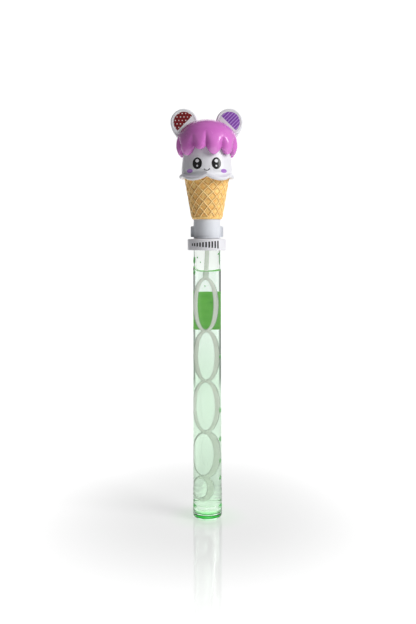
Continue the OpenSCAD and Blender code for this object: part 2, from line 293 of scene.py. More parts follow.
def make_waffle_finish():
    """Tan waffle: ridges paled as a painted highlight, painted shade beside them, and blotched pads between.
    """
    finish = Finish("waffle_tan", {"IOR": 1.48, "Coat Weight": 0.15, "Coat Roughness": 0.3})
    ridge = finish.attribute("ridge")
    painted_valley_shade = finish.attribute("painted_valley_shade")
    blotch = finish.noise(2.6, detail=4)
    crumb = finish.noise(0.45, detail=3)
    pad = finish.mix(blotch.ramp(0.3, 0.7), shade(255, 219, 140), shade(251, 190, 102))
    baked = finish.mix(crumb.ramp(0.5, 0.8) * 0.3, pad, shade(236, 166, 80))
    # Painted highlight: the ridges are paled.
    highlit_ridges = finish.mix(ridge.ramp(0.35, 0.95) * 0.5, baked, shade(255, 236, 178))
    # Painted shade: a dark brown band beside each ridge.
    finish.colour(finish.mix(painted_valley_shade * 0.6, highlit_ridges, shade(172, 98, 34)))
    finish.roughness(0.42 + (blotch - 0.5) * 0.2)
    finish.bump(crumb + blotch * 1.5, 0.05)
    return finish


def make_collar_finish():
    """White plastic with a plain printed scale of dark bars round its front."""
    finish = Finish("collar_white", {"IOR": 1.5, "Coat Weight": 0.1, "Coat Roughness": 0.15})
    across, depth, up = finish.axes()
    around = finish.node("ShaderNodeMath", {"operation": "ARCTAN2"}, {0: across, 1: -depth}) * (180 / math.pi)
    flow = finish.noise(12, detail=3)
    white = finish.mix(flow.ramp(0.3, 0.8) * 0.6, shade(233, 232, 236), shade(220, 220, 227))
    step = (around - BARS_FROM) / BARS_STEP
    bar = 1 - (step.one("FRACT") - 0.5).one("ABSOLUTE").ramp(0.24, 0.3)
    reach = (step.one("FLOOR") + 1) * BARS_GROWTH + BARS_LOW
    height = 1 - ((up - (collar_low.z + collar_high.z) / 2).one("ABSOLUTE") - reach).ramp(-0.08, 0.08)
    held = around.ramp(BARS_FROM - 0.2, BARS_FROM) * (1 - around.ramp(BARS_TO, BARS_TO + 0.2))
    radius = distance(across, depth).ramp(collar_high.x - 0.4, collar_high.x - 0.2)
    ink = bar * height * held * radius
    finish.colour(finish.mix(ink, white, shade(24, 24, 28)))
    finish.roughness(0.32 + (flow - 0.5) * 0.1)
    finish.bump(finish.noise(0.5) + flow * 2 + ink, GRAIN)
    return finish


def start_print(name, side):
    """An ear's inlay finish, coordinates from the inlay's middle, and a mask of its printed half."""
    finish = Finish(name, {"IOR": 1.5, "Coat Weight": 0.4, "Coat Roughness": 0.1})
    across, _, up = finish.axes()
    aside = across - side * EAR_X
    high = up - EAR_Z
    disc = 1 - distance(aside, high).ramp(PRINT_R, PRINT_R + 0.2)
    return finish, aside, high, disc * (high + aside * side).ramp(HALF_EDGE, HALF_EDGE + 0.3)


def end_print(finish, half, printed, blotch):
    """Lays the print on white plastic, where it stands a little proud."""
    finish.colour(finish.mix(half, shade(238, 238, 240), printed))
    finish.roughness(0.3 + (blotch - 0.5) * 0.1)
    finish.bump(half * 2 + blotch, GRAIN)
    return finish


def make_dotted_finish():
    """Dark red half with even white dots, printed on the left ear's inlay."""
    finish, aside, high, half = start_print("ear_red_print", -1)
    row = (high / DOT_STEP).one("FLOOR")
    column = aside / DOT_STEP + row * 0.5
    dot = distance(column.one("FRACT") - 0.5, (high / DOT_STEP).one("FRACT") - 0.5)
    dots = 1 - dot.ramp(0.14, 0.2)
    blotch = finish.noise(1.8, detail=3)
    red = finish.mix(blotch.ramp(0.3, 0.7), shade(100, 2, 10), shade(134, 8, 16))
    return end_print(finish, half, finish.mix(dots, red, shade(240, 232, 230)), blotch)


def make_striped_finish():
    """Purple half with fine pale stripes, printed on the right ear's inlay."""
    finish, aside, high, half = start_print("ear_purple_print", 1)
    stripe = ((aside - high) / STRIPE_STEP).one("FRACT")
    stripes = 1 - (stripe - 0.5).one("ABSOLUTE").ramp(0.12, 0.2)
    blotch = finish.noise(1.8, detail=3)
    purple = finish.mix(blotch.ramp(0.3, 0.7), shade(142, 78, 184), shade(122, 62, 168))
    return end_print(finish, half, finish.mix(stripes * 0.75, purple, shade(206, 168, 230)), blotch)


def make_tube_finish():
    """Clear, faintly green plastic with slight ripples. Painted light: a green tint on its heel, a green glow
    and green mirror tint in its sole, and a faint glow on its inner floor.
    """
    finish = Finish("tube_clear", {
        "IOR": 1.52, "Transmission Weight": 1.0, "Roughness": 0.0, "Emission Strength": 1.0
    })
    across, depth, up = finish.axes()
    outer = distance(across, depth).ramp(10.5, 12.5)
    sole = (1 - up.ramp(0.2, 0.8)) * (1 - distance(across, depth).ramp(10, 11.2))
    # Painted light: a green tint on the heel.
    painted_heel_tint = (1 - up.ramp(2.0, 5.0)) * outer
    wall = finish.mix(painted_heel_tint, (0.99, 1, 0.99, 1), (0.82, 0.97, 0.86, 1))
    # Painted light: the sole is coloured green and made metallic, a green mirror tint.
    finish.colour(finish.mix(sole, wall, (0.03, 0.62, 0.08, 1)))
    finish.feed(finish.shader.inputs["Metallic"], sole)
    ripple = finish.noise(9, stretch=(1, 1, 0.35))
    streak = finish.noise(4)
    # Painted light: a faint glow on the inner floor and a streaked green glow in the sole.
    floor = (1 - (up - BASE_T).one("ABSOLUTE").ramp(0.3, 0.6)) * (1 - outer)
    painted_gathered_light = finish.mix(floor, grey(0), (0.31, 0.21, 0.29, 1))
    green = finish.mix(streak.ramp(0.52, 0.62), (0.01, 0.56, 0.04, 1), (0.42, 0.78, 0.46, 1))
    finish.glow(finish.mix(sole, painted_gathered_light, green))
    finish.bump(ripple, 0.05)
    finish.absorb((0.1, 0.7, 0.2), 18)
    return finish


def make_solution_finish():
    """Pale green liquid, a little deeper in colour at half height and palest at the top."""
    finish = Finish("solution_green", {"IOR": 1.335, "Transmission Weight": 1.0, "Roughness": 0.0})
    _, _, up = finish.axes()
    lower = finish.mix(up.ramp(30, 75), (0.71, 0.83, 0.72, 1), (0.65, 0.76, 0.66, 1))
    finish.colour(finish.mix(up.ramp(110, 215), lower, (0.89, 0.91, 0.91, 1)))
    finish.absorb((0.4, 0.95, 0.5), 4)
    return finish


def make_wet_finish(name, colour, glow):
    """Solution in a thin film or drop: deeper green, with a painted glow for the light that it gathers."""
    finish = Finish(name, {
        "IOR": 1.335, "Transmission Weight": 0.35, "Roughness": 0.1,
        "Emission Color": glow, "Emission Strength": 1.0,
    })
    cloud = finish.noise(1.5)
    finish.colour(finish.mix(cloud.ramp(0.3, 0.7) * 0.5, colour, shade(40, 120, 50)))
    return finish


def make_label_finish():
    """Plain green printed film with a fine grain. A painted green glow on its inner side stands in for light
    from behind.
    """
    finish = Finish("label_green", {"IOR": 1.46, "Specular IOR Level": 0.2, "Emission Strength": 1.0})
    grain = finish.noise(0.35, detail=3)
    cloud = finish.noise(7)
    finish.colour(finish.mix(cloud.ramp(0.3, 0.75), shade(122, 196, 96), shade(100, 180, 78)))
    across, depth, _ = finish.axes()
    inner = 1 - distance(across, depth).ramp(TUBE_R + 0.04, label_high.y - 0.04)
    painted_backlight = finish.mix(cloud.ramp(0.3, 0.75), (0.14, 0.43, 0.06, 1), (0.1, 0.36, 0.04, 1))
    # Painted light: the inner side glows green.
    finish.glow(finish.mix(inner, grey(0), painted_backlight))
    finish.roughness(0.45 + (grain - 0.5) * 0.2)
    finish.bump(grain, 0.02)
    return finish


def make_wand_finish():
    """Milky, waxy plastic with a painted glow for light from behind: most in its flat faces, less in its
    edges, and changing with height.
    """
    finish = Finish("wand_milky", {"IOR": 1.48, "Emission Strength": 1.0})
    cloud = finish.noise(3, detail=3)
    finish.colour(finish.mix(cloud.ramp(0.3, 0.75), shade(170, 174, 167), shade(156, 162, 153)))
    normal = finish.node("ShaderNodeTexCoord", {}, {}, output=1)
    flat_face_glow = finish.node("ShaderNodeSeparateXYZ", {}, {0: normal}, output=1).one("ABSOLUTE").ramp(0.35, 0.95)
    up = finish.axes()[2]
    loops = finish.mix(up.ramp(30, 130), (0.46, 0.52, 0.44, 1), (0.52, 0.52, 0.48, 1))
    face = finish.mix(up.ramp(212, 219), loops, (0.42, 0.46, 0.4, 1))
    # Painted light: the glow is strongest on the flat faces and weaker on the edges.
    finish.glow(finish.mix(flat_face_glow, (0.14, 0.17, 0.14, 1), face))
    finish.roughness(0.42 + (cloud - 0.5) * 0.15)
    finish.bump(finish.noise(0.6), 0.02)
    return finish


# Modelling

ROUNDING = 1.1


def curve(points, pieces):
    """A smooth line through the points, with pieces steps between each pair."""
    line = []
    ends = [points[0], *points, points[-1]]
    for before, here, there, after in zip(ends, ends[1:], ends[2:], ends[3:]):
        for step in range(pieces):
            t = step / pieces
            line.append(tuple(
                0.5 * (2 * b + (c - a) * t + (2 * a - 5 * b + 4 * c - d) * t ** 2
                       + (3 * b - a - 3 * c + d) * t ** 3)
                for a, b, c, d in zip(before, here, there, after)
            ))
    return line + [points[-1]]


def arc(middle, radius, start, end, steps=6):
    """Points of a round corner, angles in degrees."""
    return [
        (middle[0] + radius * math.cos(math.radians(start + (end - start) * n / steps)),
         middle[1] + radius * math.sin(math.radians(start + (end - start) * n / steps)))
        for n in range(steps + 1)
    ]


def lathe(bm, profile, turns=160, closed=True):
    """Spins a profile of radii and heights in millimetres round the axis."""
    verts = [bm.verts.new((radius * MM, 0, height * MM)) for radius, height in profile]
    pairs = list(zip(verts, verts[1:]))
    if closed:
        pairs.append((verts[-1], verts[0]))
    edges = [bm.edges.new(pair) for pair in pairs]
    bmesh.ops.spin(
        bm, geom=verts + edges, cent=(0, 0, 0), axis=(0, 0, 1), angle=FULL_TURN, steps=turns, use_merge=True
    )


def turn(bm, verts, degrees, axis):
    """Turns vertices round an axis through the origin."""
    matrix = Matrix.Rotation(math.radians(degrees), 3, axis)
    bmesh.ops.rotate(bm, verts=verts, cent=(0, 0, 0), matrix=matrix)


def add_mesh(name, bm):
    """A new object in the scene from a bmesh, which it frees."""
    mesh = bpy.data.meshes.new(name)
    bm.to_mesh(mesh)
    bm.free()
    return add_object(name, mesh)


def add_block(bm, size, middle):
    """A box, its size and middle in millimetres."""
    block = bmesh.ops.create_cube(bm, size=1)["verts"]
    bmesh.ops.scale(bm, verts=block, vec=Vector(size) * MM)
    bmesh.ops.translate(bm, verts=block, vec=Vector(middle) * MM)
    return block


def round_edges(bm, edges, steps):
    bmesh.ops.bevel(
        bm, geom=edges, offset=ROUNDING * MM, offset_type="OFFSET", segments=steps, profile=0.5,
        affect="EDGES", material=-1,
    )


def close_piece(bm, name, body, finish, nodes=(), sharp=32):
    """Welds a mesh, turns its faces outwards, and makes it a piece on its body."""
    bmesh.ops.remove_doubles(bm, verts=bm.verts, dist=WELD)
    bmesh.ops.dissolve_degenerate(bm, edges=bm.edges, dist=WELD / 4)
    bmesh.ops.recalc_face_normals(bm, faces=bm.faces)
    piece = add_mesh(name, bm)
    piece.data.shade_smooth()
    piece.data.set_sharp_from_angle(angle=math.radians(sharp))
    piece.data.materials.append(finish.material)
    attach(piece, body)
    if nodes:
        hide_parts(*nodes)


def merged(parts):
    """One watertight mesh from bmeshes that overlap."""
    pieces = []
    for bm in parts:
        bmesh.ops.remove_doubles(bm, verts=bm.verts, dist=WELD)
        bmesh.ops.recalc_face_normals(bm, faces=bm.faces)
        pieces.append(add_mesh("part", bm))
    for piece in pieces[1:]:
        union = pieces[0].modifiers.new("union", "BOOLEAN")
        union.operation = "UNION"
        union.solver = "EXACT"
        union.object = piece
    ready = pieces[0].evaluated_get(bpy.context.evaluated_depsgraph_get())
    whole = bmesh.new()
    whole.from_mesh(ready.to_mesh())
    for piece in pieces:
        bpy.data.meshes.remove(piece.data)
    return whole


def front_angle(place):
    """Degrees round the axis from the front, positive to the right."""
    return math.degrees(math.atan2(place.x, -place.y)) % 360


# The tube and what it holds

BORE_R = solution_high.x + 0.02
TUBE_R = label_high.y - 0.15
FOOT_R = tube_high.x
FOOT_H = 23
HEEL_R = 3.5
BASE_T = solution_low.z - 0.02
TUBE_NECK_R = TUBE_R - 0.6
TUBE_TOP = tube_high.z
HOLD = 0.5
WALL_ROWS = (60, 120, 180)
SHOULDER_Z = collar_low.z + 0.3
SHOULDER_H = 0.8
LIP_R = 0.3
FOOT_TAPER_H = 4.5
HEEL_TOP_Z = 19
HEEL_RING_HALF = 0.6
FOOT_RING_HALF = 0.7
RING_H = 0.28
RING_RISE = 0.14
FOOT_RINGS = (20.7, 24.7)
HEEL_RINGS = (5.9, 7.5, 9.1, 10.7)
HEEL_GROOVE_Z = 12.9
HEEL_GROOVE = 0.26
HEEL_GROOVE_HALF = 0.3
THREAD_PITCH = 3
THREAD_STEPS = 72
THREAD_H = 0.9
THREAD_Z = collar_low.z + 3.4
THREAD_HALF_W = 0.65
THREAD_CREST_HALF_W = 0.3
THREAD_ROOT = 0.1
THREAD_FADE = 10
THREAD_LEAST = 0.02


def ring_bumps(heights, half_width):
    """Low rounded rings round the tube's foot, as points from the lowest ring's foot up."""
    rise = [(-1, 0), (-0.55, 0.45), (0, 1), (0.55, 0.45), (1, 0)]
    return [
        (FOOT_R - RING_H + RING_RISE * out, height + half_width * up)
        for height in heights for up, out in rise
    ]


def rounded_well(radius, floor):
    """The wall and floor of a round well with a rounded foot, from its middle rows down to its axis."""
    rows = [(radius, height) for height in reversed(WALL_ROWS)] + [(radius, floor + HEEL_R + HOLD)]
    foot = arc((radius - HEEL_R, floor + HEEL_R), HEEL_R, 0, -90, 12)
    return rows + foot + [(radius - HEEL_R - HOLD, floor), (0, floor)]


def make_tube():
    bm = bmesh.new()
    heel_r = FOOT_R - RING_H
    taper_top = FOOT_H + FOOT_TAPER_H
    groove_top = HEEL_GROOVE_Z + HEEL_GROOVE_HALF
    neck_foot = SHOULDER_Z + SHOULDER_H
    outside = (
        [(0, 0), (FOOT_R - HEEL_R - HOLD, 0)] + arc((heel_r - HEEL_R, HEEL_R), HEEL_R, -90, 0, 12)
        + ring_bumps(HEEL_RINGS, HEEL_RING_HALF)
        + [(heel_r, HEEL_GROOVE_Z - HEEL_GROOVE_HALF), (heel_r - HEEL_GROOVE, HEEL_GROOVE_Z)]
        + [(heel_r, groove_top), (heel_r, groove_top + HOLD), (heel_r, HEEL_TOP_Z)]
        + ring_bumps(FOOT_RINGS, FOOT_RING_HALF)
        + [(TUBE_R, taper_top), (TUBE_R, taper_top + HOLD)] + [(TUBE_R, height) for height in WALL_ROWS]
        + [(TUBE_R, SHOULDER_Z - HOLD), (TUBE_R, SHOULDER_Z), (TUBE_NECK_R, neck_foot)]
        + [(TUBE_NECK_R, neck_foot + HOLD), (TUBE_NECK_R, TUBE_TOP - LIP_R)]
    )
    lip = arc((TUBE_NECK_R - LIP_R, TUBE_TOP - LIP_R), LIP_R, 0, 90, 4) + [(BORE_R, TUBE_TOP)]
    lathe(bm, outside + lip + rounded_well(BORE_R, BASE_T), closed=False)
    close_piece(bm, "tube_shell", "tube", tube_finish, ["tube"], sharp=50)


def make_thread():
    """The raised thread on the tube's neck, one turn with drawn-in ends."""
    bm = bmesh.new()
    root = TUBE_NECK_R - THREAD_ROOT
    crest = TUBE_NECK_R + THREAD_H
    section = [
        (root, -THREAD_HALF_W), (crest, -THREAD_CREST_HALF_W),
        (crest, THREAD_CREST_HALF_W), (root, THREAD_HALF_W),
    ]
    verts = [bm.verts.new((radius * MM, 0, (THREAD_Z + height) * MM)) for radius, height in section]
    edges = [bm.edges.new(pair) for pair in zip(verts, verts[1:] + verts[:1])]
    bmesh.ops.spin(
        bm, geom=verts + edges, cent=(0, 0, 0), axis=(0, 0, 1), dvec=(0, 0, THREAD_PITCH / THREAD_STEPS * MM),
        angle=FULL_TURN, steps=THREAD_STEPS, use_merge=False,
    )
    bmesh.ops.holes_fill(bm, edges=bm.edges, sides=4)
    for vert in bm.verts:
        turned = (vert.co.z / MM - THREAD_Z) / THREAD_PITCH
        swell = min(1, max(THREAD_LEAST, THREAD_FADE * min(turned, 1 - turned)))
        radius = math.hypot(vert.co.x, vert.co.y) / MM
        wanted = root + (radius - root) * swell
        vert.co.x *= wanted / radius
        vert.co.y *= wanted / radius
    close_piece(bm, "tube_thread", "tube", tube_finish, sharp=40)


MENISCUS_RADII = (0, 2, 4, 5.5, 7, 8, 9, 9.6, 10.1, 10.5, 10.8, 11.05, 11.2)
SURFACE_Z = solution_high.z - 1.4
WETTED = 0.03
LEFT_CLIMB = 4.6
LEFT_CLIMB_W = 1.7
RIGHT_CLIMB = 1.6
RIGHT_CLIMB_W = 3.2


def meniscus(place):
    """Height of the solution's surface over its lowest level: it climbs the wall, most on the left."""
    across = place.x / MM
    left = LEFT_CLIMB * math.exp(-(across + BORE_R) / LEFT_CLIMB_W)
    right = RIGHT_CLIMB * math.exp((across - BORE_R) / RIGHT_CLIMB_W)
    return left + right


def make_solution():
    bm = bmesh.new()
    radius = BORE_R + WETTED
    surface = [(r, SURFACE_Z) for r in MENISCUS_RADII] + [(radius, SURFACE_Z), (radius, SURFACE_Z - HOLD)]
    lathe(bm, surface + rounded_well(radius, BASE_T - WETTED), closed=False)
    for vert in bm.verts:
        if vert.co.z > (SURFACE_Z - HOLD / 2) * MM:
            vert.co.z += meniscus(vert.co) * MM
    close_piece(
        bm, "solution_body", "tube", solution_finish, ["bubble_solution"], sharp=60
    )


SURFACE_LINE_R = 0.27
SURFACE_LINE_INSET = 0.3
SURFACE_LINE_SWELL = 1.2


def make_surface_line():
    """The green line where the solution's surface meets the wall, thickest on the right."""
    bm = bmesh.new()
    lathe(bm, arc((BORE_R - SURFACE_LINE_INSET, SURFACE_Z), SURFACE_LINE_R, 0, 324, 9))
    for vert in bm.verts:
        swell = 1 + SURFACE_LINE_SWELL * max(0, vert.co.x / MM / BORE_R) ** 2
        vert.co.z = SURFACE_Z * MM + (vert.co.z - SURFACE_Z * MM) * swell + meniscus(vert.co) * MM
    close_piece(bm, "surface_line", "tube", surface_finish)


# Drops on the tube's inner wall: degrees from the front, height, half width, half height, degrees of lean
DROPS = (
    (-70, 231, 2.0, 3.3, 4), (-70, 220.3, 2.0, 2.2, 0), (-46, 233.6, 0.6, 0.8, 0), (-30, 229.4, 0.5, 0.6, 0),
    (67.5, 233.2, 0.25, 6.4, 0), (58, 236.6, 0.5, 1.1, 40), (-9, 208.3, 0.55, 0.6, 0),
    (18, 193.8, 0.8, 0.45, 10), (72, 144.6, 2.2, 1.7, 0), (71, 96.8, 2.4, 2.2, 30), (71, 71, 2.4, 2.3, 40),
    (71, 51.4, 2.2, 2, 40), (70, 36.4, 2, 2, 55),
)
DROP_HALF_T = 0.3
DROP_INSET = 0.12


def make_drops():
    bm = bmesh.new()
    for degrees, height, half_w, half_h, lean in DROPS:
        drop = bmesh.ops.create_uvsphere(bm, u_segments=16, v_segments=10, radius=1)["verts"]
        bmesh.ops.scale(bm, verts=drop, vec=Vector((half_w, DROP_HALF_T, half_h)) * MM)
        turn(bm, drop, lean, "Y")
        bmesh.ops.translate(bm, verts=drop, vec=Vector((0, DROP_INSET - BORE_R, height)) * MM)
        turn(bm, drop, degrees, "Z")
    close_piece(bm, "wall_drops", "tube", drop_finish)


LABEL_HALF_ANGLE = 75
LABEL_STEPS = 60
LABEL_GAP = 0.02


def make_label():
    """A thin film round the back of the tube, with its ends cut square."""
    bm = bmesh.new()
    inner = TUBE_R + LABEL_GAP
    outer = label_high.y
    section = [(inner, label_low.z), (outer, label_low.z), (outer, label_high.z), (inner, label_high.z)]
    face = bm.faces.new([bm.verts.new((radius * MM, 0, height * MM)) for radius, height in section])
    turn(bm, bm.verts, 90 - LABEL_HALF_ANGLE, "Z")
    bmesh.ops.spin(
        bm, geom=[*face.verts, *face.edges, face], cent=(0, 0, 0), axis=(0, 0, 1),
        angle=math.radians(2 * LABEL_HALF_ANGLE), steps=LABEL_STEPS,
    )
    close_piece(bm, "label_film", "tube", label_finish, ["back_label"])


# The wand

LOOP_TOPS = (213.1, 166.2, 121.1, 75.4, 35.2)
LOOP_ENDS = (169.1, 124.2, 78.8, 38.4, 17.8)
LOOP_HALF_WIDTHS = (5.2, 5.4, 6.1, 6.8, 4.6)
LOOP_MIDDLES = (-1.1, -0.6, -1.2, -2.8, -5)
LOOP_EXTRAS = (0, 0, 0.2, 1.5, 1.1)
BAND_W = 4.1
BAND_END_H = 2.9
WAND_REACH = BORE_R - 0.5
WAND_HALF_T = wand_high.y
RIB_STEP = 1.7
RIB_DEPTH = 0.26
STEPS_PER_RIB = 4
BAND_SIDES = 16
STEM_HALF_W = 2
STEM_SIDES = 24
STEM_ROWS = 40
STEM_END = 0.82
STEM_THINNING = 0.98
SECTION_POWER = 0.45


def wrapped_grid(bm, around, along, place):
    """A grid of around by along faces, each corner moved to the place that the function gives."""
    made = bmesh.ops.create_grid(bm, x_segments=around, y_segments=along, size=1)
    for vert in made["verts"]:
        u = (vert.co.x + 1) / 2
        v = (vert.co.y + 1) / 2
        vert.co = Vector(place(u, v)) * MM


def flat_round(angle, half_w, half_t):
    """A point of a band's section: a rectangle with well rounded corners."""
    c = math.cos(angle)
    s = math.sin(angle)
    across = math.copysign(abs(c) ** SECTION_POWER, c) * half_w
    return across, math.copysign(abs(s) ** SECTION_POWER, s) * half_t


def loop_edges(i, angle):
    """The inner and the outer edge of a loop's band, in one direction from its middle."""
    half = (LOOP_TOPS[i] - LOOP_ENDS[i]) / 2
    middle = (LOOP_TOPS[i] + LOOP_ENDS[i]) / 2
    left = max(LOOP_MIDDLES[i] - LOOP_HALF_WIDTHS[i] - BAND_W, -WAND_REACH)
    right = min(LOOP_MIDDLES[i] + LOOP_HALF_WIDTHS[i] + BAND_W + LOOP_EXTRAS[i], WAND_REACH)
    c = math.cos(angle)
    s = math.sin(angle)
    inner = Vector((LOOP_MIDDLES[i] + LOOP_HALF_WIDTHS[i] * c, 0, middle + half * s))
    outer = Vector(((left + right + (right - left) * c) / 2, 0, middle + (half + BAND_END_H) * s))
    return inner, outer


def make_loop(i):
    bm = bmesh.new()
    length = math.pi * ((LOOP_TOPS[i] - LOOP_ENDS[i]) / 2 + LOOP_HALF_WIDTHS[i] + BAND_W)
    steps = round(length / RIB_STEP) * STEPS_PER_RIB

    def band(u, v):
        step = round(u * steps) % steps
        inner, outer = loop_edges(i, FULL_TURN * step / steps)
        groove = 0 if step % STEPS_PER_RIB < 2 else RIB_DEPTH
        across, deep = flat_round(
            FULL_TURN * v, (outer - inner).length / 2 - groove * 1.5, WAND_HALF_T - groove
        )
        return (inner + outer) / 2 + (outer - inner).normalized() * across + Vector((0, deep, 0))

    wrapped_grid(bm, steps, BAND_SIDES, band)
    return bm


def make_stem():
    bm = bmesh.new()
    top = wand_high.z
    foot = LOOP_TOPS[0] + BAND_END_H / 2
    bend = stopper_low.z - 4

    def bar(u, v):
        height = top + (foot - top) * v
        lean = LOOP_MIDDLES[0] * max(0, (bend - height) / (bend - foot))
        shrink = 1 if 0 < v < 1 else STEM_END
        across, deep = flat_round(FULL_TURN * u, STEM_HALF_W * shrink, WAND_HALF_T * shrink * STEM_THINNING)
        return lean + across, deep, height

    wrapped_grid(bm, STEM_SIDES, STEM_ROWS, bar)
    bmesh.ops.remove_doubles(bm, verts=bm.verts, dist=WELD)
    bmesh.ops.holes_fill(bm, edges=bm.edges, sides=0)
    return bm


def make_wand():
    whole = merged([make_stem()] + [make_loop(i) for i in range(len(LOOP_TOPS))])
    close_piece(whole, "wand_loops", "stopper", wand_finish, ["wand"], sharp=50)


# The collar and the stopper

COLLAR_R = collar_high.x
COLLAR_BORE_R = TUBE_NECK_R + THREAD_H + 0.35
INNER_SKIRT_R = COLLAR_BORE_R + 1.4
SKIRT_T = 1.5
WEB_Z = collar_high.z - 1.3
WEB_HOLE_R = BORE_R + 0.45
EDGE_R = 1.0
INNER_EDGE_R = 0.3
COLLAR_RIBS = 8
COLLAR_RIB_T = 1
COLLAR_RIB_SINK = 0.15
COLLAR_RIB_GAP = 1
BARS_FROM = -52
BARS_TO = 38
BARS_STEP = 9
BARS_LOW = 0.9
BARS_GROWTH = 0.25


def make_collar():
    bm = bmesh.new()
    outer = COLLAR_R - SKIRT_T
    low = collar_low.z
    top = collar_high.z
    edge = COLLAR_R - EDGE_R
    small = INNER_EDGE_R
    lathe(bm, (
        arc((edge, low + EDGE_R), EDGE_R, -90, 0) + arc((edge, top - EDGE_R), EDGE_R, 0, 90)
        + arc((WEB_HOLE_R + small, top - small), small, 90, 180, 4)
        + [(WEB_HOLE_R, WEB_Z), (COLLAR_BORE_R, WEB_Z), (COLLAR_BORE_R, low + small)]
        + [(COLLAR_BORE_R + small, low), (INNER_SKIRT_R, low), (INNER_SKIRT_R, WEB_Z)]
        + [(outer, WEB_Z), (outer, low)]
    ))
    depth = outer - INNER_SKIRT_R + 2 * COLLAR_RIB_SINK
    height = WEB_Z - low - COLLAR_RIB_GAP
    middle = ((outer + INNER_SKIRT_R) / 2, 0, WEB_Z - height / 2)
    for rib in range(COLLAR_RIBS):
        block = add_block(bm, (depth, COLLAR_RIB_T, height), middle)
        turn(bm, block, 360 * (rib + 0.5) / COLLAR_RIBS, "Z")
    close_piece(bm, "collar_ring", "collar", collar_finish, ["screw_collar"])


NECK_R = 12.1
PLUG_R = BORE_R - 0.4
PLUG_IN_R = 8
NECK_Z = collar_high.z + 0.3
CONE_Z = cone_low.z
SEAL_Z = collar_low.z + 4.8
GROOVE_HALF = 1.2
GROOVE_R = PLUG_R - 1.55
STOPPER_T = 1.6
NECK_CEILING_Z = CONE_Z - STOPPER_T
STEP_Z = NECK_Z + 2
FOOT_EDGE_R = 0.3
PLUG_CHAMFER = 0.6
SPIGOT_R = 6
WING_R = stopper_high.x
WING_ROOT_R = NECK_R - 0.6
WING_LOW = NECK_Z + 1.3
WING_HIGH = WING_LOW + 9.8
WING_HALF_T = 0.9


def make_stopper():
    bm = bmesh.new()
    low = stopper_low.z
    top = stopper_high.z
    inner = NECK_R - STOPPER_T
    foot = arc((NECK_R - FOOT_EDGE_R, NECK_Z + FOOT_EDGE_R), FOOT_EDGE_R, -90, 0, 3)
    lathe(bm, [
        (PLUG_IN_R, low), (PLUG_R - PLUG_CHAMFER, low), (PLUG_R, low + PLUG_CHAMFER),
        (PLUG_R, SEAL_Z - GROOVE_HALF), (GROOVE_R, SEAL_Z - GROOVE_HALF),
        (GROOVE_R, SEAL_Z + GROOVE_HALF), (PLUG_R, SEAL_Z + GROOVE_HALF), (PLUG_R, NECK_Z),
        *foot, (NECK_R, NECK_Z + 0.9), (NECK_R, CONE_Z), (SPIGOT_R, CONE_Z), (SPIGOT_R, top), (0, top),
        (0, NECK_CEILING_Z), (inner, NECK_CEILING_Z), (inner, STEP_Z), (PLUG_IN_R, STEP_Z),
    ])
    for side in (-1, 1):
        size = (WING_R - WING_ROOT_R, 2 * WING_HALF_T, WING_HIGH - WING_LOW)
        middle = (side * (WING_R + WING_ROOT_R) / 2, 0, (WING_LOW + WING_HIGH) / 2)
        block = add_block(bm, size, middle)
        edges = {edge for vert in block for edge in vert.link_edges}
        round_edges(bm, [
            edge for edge in edges if abs(edge.verts[0].co.y - edge.verts[1].co.y) > MM
            and abs(edge.verts[0].co.x) > (WING_R - 0.1) * MM
        ], 5)
    close_piece(bm, "stopper_neck", "stopper", stopper_finish, ["stopper"])


# The cone

CONE_LOW_R = 13.9
CONE_TOP_R = cone_high.x
CONE_FOOT_R = 12.6
CONE_CHAMFER_H = 2
CONE_RIM_Z = cone_high.z - 8
CONE_SPIGOT_R = 17.9
CONE_SPIGOT_T = 1.7
CONE_SIDE_Z = CONE_Z + CONE_CHAMFER_H
CONE_SIDE_H = CONE_RIM_Z - CONE_SIDE_Z
CONE_FLOOR_R = 12.6
CONE_FLOOR_Z = CONE_Z + 2.2
CONE_ROWS = 170
SOCKET_IN_R = SPIGOT_R + 0.05
SOCKET_R = SPIGOT_R + 1.85
SOCKET_Z = CONE_Z + 7.4
DIAMONDS = 13
DIAMOND_H = 8.75
DIAMOND_TURN = -10.6
DIAMOND_Z = 274.3
RIDGE_HALF_W = 0.85
RIDGE_H = 0.7
RIDGE_PROUD = 0.3
SHADE_BESIDE_RIDGE_HALF_W = 0.5
LATTICE_LOW = CONE_Z + 1.7


def ridge_distance(degrees, height, radius):
    """Millimetres from a place on the cone to the middle of its nearest ridge."""
    around = (degrees - DIAMOND_TURN) * DIAMONDS / 360
    up = (height - DIAMOND_Z) / DIAMOND_H
    pitch = math.hypot(math.tau * radius / DIAMONDS, DIAMOND_H)
    spacing = math.tau * radius / DIAMONDS * DIAMOND_H / pitch
    return min(abs(phase - round(phase)) for phase in (around + up, around - up)) * spacing


def cone_radius(height):
    """The cone's radius before its lattice is raised."""
    return CONE_LOW_R + (CONE_TOP_R - CONE_LOW_R) * (height - CONE_SIDE_Z) / CONE_SIDE_H


